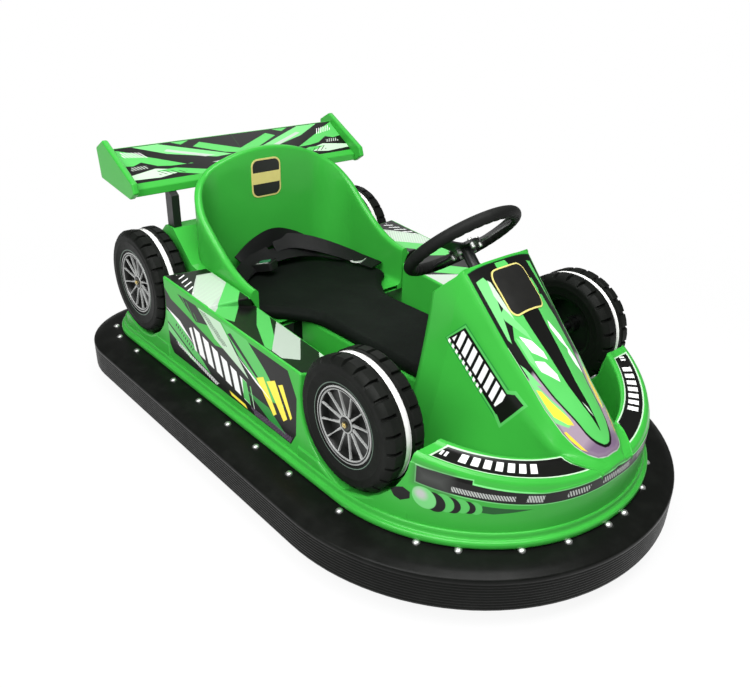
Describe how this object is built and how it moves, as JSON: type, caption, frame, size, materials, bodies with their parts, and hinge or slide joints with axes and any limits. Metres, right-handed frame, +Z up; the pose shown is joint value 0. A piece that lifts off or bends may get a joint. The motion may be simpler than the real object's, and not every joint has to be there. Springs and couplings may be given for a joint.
{
  "type": "bumper car",
  "caption": "Kart-styled battery bumper car: moulded body in a rubber bumper ring, bucket seat, steering wheel that turns the drive unit, large show wheels and a rear wing.",
  "frame": {"origin": "on the floor under the middle of the bumper ring", "axes": "+X to the nose, +Y to the driver's left, +Z up"},
  "size_m": [1.75, 1.054, 0.732],
  "materials": {
    "bumper_rubber": "satin moulded rubber",
    "tyre_rubber": "matt blocky tread",
    "rim_plastic": "silver spokes on black",
    "grip_rubber": "fine grained foam",
    "black_metal": "satin black powder coat",
    "zinc_steel": "bright zinc",
    "pad_fabric": "black padded cover",
    "battery_plastic": "plain case",
    "body_green": "glossy moulded plastic"
  },
  "bodies": {
    "car": {"base_tray": "body_green", "battery_box": "battery_plastic", "bumper_ring": "bumper_rubber", "chassis_frame": "black_metal", "column_housing": "body_green", "foot_pedal": "black_metal", "front_fairing": "body_green", "nose_cowl": "body_green", "rear_axle": "zinc_steel", "rear_deck": "body_green", "seat_pad": "pad_fabric", "seat_shell": "body_green", "side_pod_left": "body_green", "side_pod_right": "body_green", "spoiler_blade": "body_green", "spoiler_end_plate_left": "body_green", "spoiler_end_plate_right": "body_green", "spoiler_strut_left": "black_metal", "spoiler_strut_right": "black_metal", "stub_axle_front_left": "black_metal", "stub_axle_front_right": "black_metal", "stub_axle_rear_left": "black_metal", "stub_axle_rear_right": "black_metal"},
    "show_wheel_front_left": {"show_tyre_front_left": "tyre_rubber", "show_rim_front_left": "rim_plastic"},
    "show_wheel_front_right": {"show_tyre_front_right": "tyre_rubber", "show_rim_front_right": "rim_plastic"},
    "show_wheel_rear_left": {"show_tyre_rear_left": "tyre_rubber", "show_rim_rear_left": "rim_plastic"},
    "show_wheel_rear_right": {"show_tyre_rear_right": "tyre_rubber", "show_rim_rear_right": "rim_plastic"},
    "steering": {"steering_rim": "grip_rubber", "steering_spokes": "black_metal", "steering_shaft": "black_metal"},
    "drive_unit": {"drive_fork": "black_metal"},
    "drive_wheel": {"drive_hub": "zinc_steel", "drive_tyre": "tyre_rubber"},
    "trailing_wheel_left": {"trailing_hub_left": "zinc_steel", "trailing_tyre_left": "tyre_rubber"},
    "trailing_wheel_right": {"trailing_hub_right": "zinc_steel", "trailing_tyre_right": "tyre_rubber"}
  },
  "joints": [
    {"name": "steering_turn", "type": "hinge", "parent": "car", "child": "steering", "pos_m": [0.313, 0, 0.626], "axis": [-0.6858, 0, 0.7278], "continuous": true},
    {"name": "drive_steer", "type": "hinge", "parent": "car", "child": "drive_unit", "pos_m": [0.56, 0, 0.2], "axis": [0, 0, 1], "continuous": true},
    {"name": "drive_spin", "type": "hinge", "parent": "drive_unit", "child": "drive_wheel", "pos_m": [0.56, 0, 0.085], "axis": [0, 1, 0], "continuous": true},
    {"name": "trailing_spin_left", "type": "hinge", "parent": "car", "child": "trailing_wheel_left", "pos_m": [-0.43, 0.232, 0.075], "axis": [0, 1, 0], "continuous": true},
    {"name": "trailing_spin_right", "type": "hinge", "parent": "car", "child": "trailing_wheel_right", "pos_m": [-0.43, -0.232, 0.075], "axis": [0, 1, 0], "continuous": true},
    {"name": "show_spin_front_left", "type": "hinge", "parent": "car", "child": "show_wheel_front_left", "pos_m": [0.395, 0.368, 0.338], "axis": [0, 1, 0], "continuous": true},
    {"name": "show_spin_front_right", "type": "hinge", "parent": "car", "child": "show_wheel_front_right", "pos_m": [0.395, -0.368, 0.338], "axis": [0, 1, 0], "continuous": true},
    {"name": "show_spin_rear_left", "type": "hinge", "parent": "car", "child": "show_wheel_rear_left", "pos_m": [-0.54, 0.378, 0.3555], "axis": [0, 1, 0], "continuous": true},
    {"name": "show_spin_rear_right", "type": "hinge", "parent": "car", "child": "show_wheel_rear_right", "pos_m": [-0.54, -0.378, 0.3555], "axis": [0, 1, 0], "continuous": true}
  ],
  "couplings": [
    {"joint": "drive_steer", "follows": "steering_turn", "ratio": 1}
  ]
}
